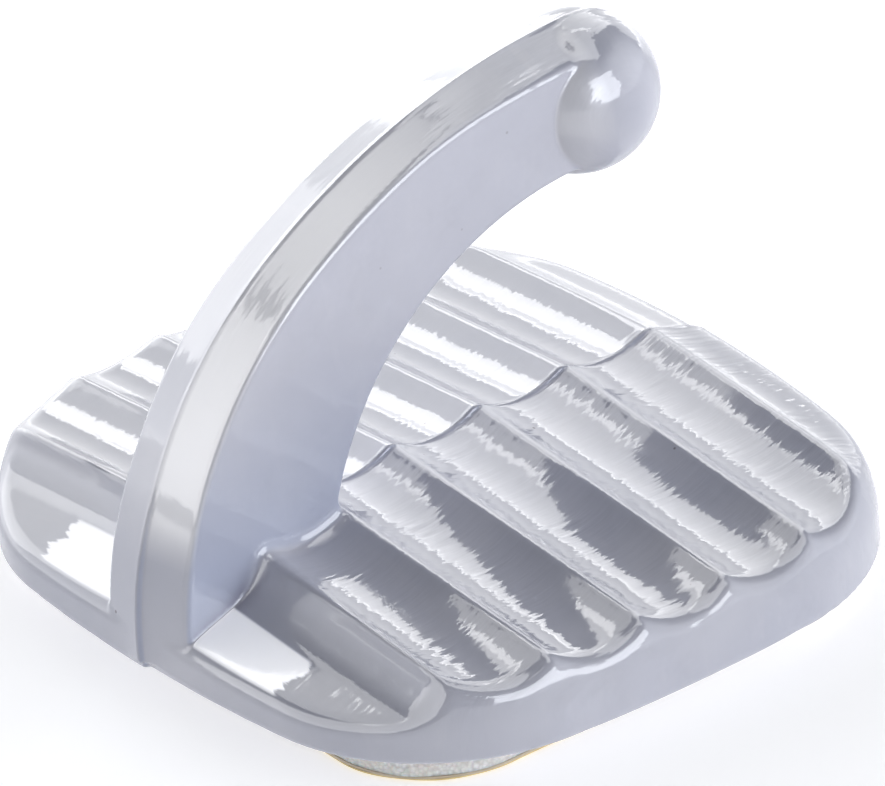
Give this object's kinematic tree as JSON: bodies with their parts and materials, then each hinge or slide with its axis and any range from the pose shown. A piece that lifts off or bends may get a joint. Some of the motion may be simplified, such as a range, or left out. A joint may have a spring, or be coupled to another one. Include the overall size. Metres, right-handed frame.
{
  "type": "adhesive wall hook",
  "caption": "Self-adhesive moulded plastic wall hook: fluted gabled plate with a curved arm ending in a ball, on a foam pad with a peel-off liner.",
  "frame": {"origin": "Centre of the face that lies on the wall: the outer face of the release liner at rest.", "axes": "+Z points away from the wall. +Y runs from the root of the arm toward the ball, which is up when the hook hangs on a wall. +X runs across the plate, along the flutes."},
  "size_m": [0.05, 0.0449, 0.033],
  "materials": {
    "hook_plastic": "glossy moulded plastic with a parting line",
    "pad_foam": "cut edge of a closed-cell foam",
    "adhesive_film": "thin tacky film",
    "liner": "siliconised film, slight sheen"
  },
  "bodies": {
    "hook": {"hook_body": "hook_plastic", "adhesive_film_hook_side": "adhesive_film", "foam_core": "pad_foam", "adhesive_film_wall_side": "adhesive_film"},
    "liner": {"release_liner": "liner"}
  },
  "joints": [
    {"name": "liner_peel", "type": "slide", "parent": "hook", "child": "liner", "axis": [0, 0, -1], "range_m": [0, 0.03]}
  ]
}
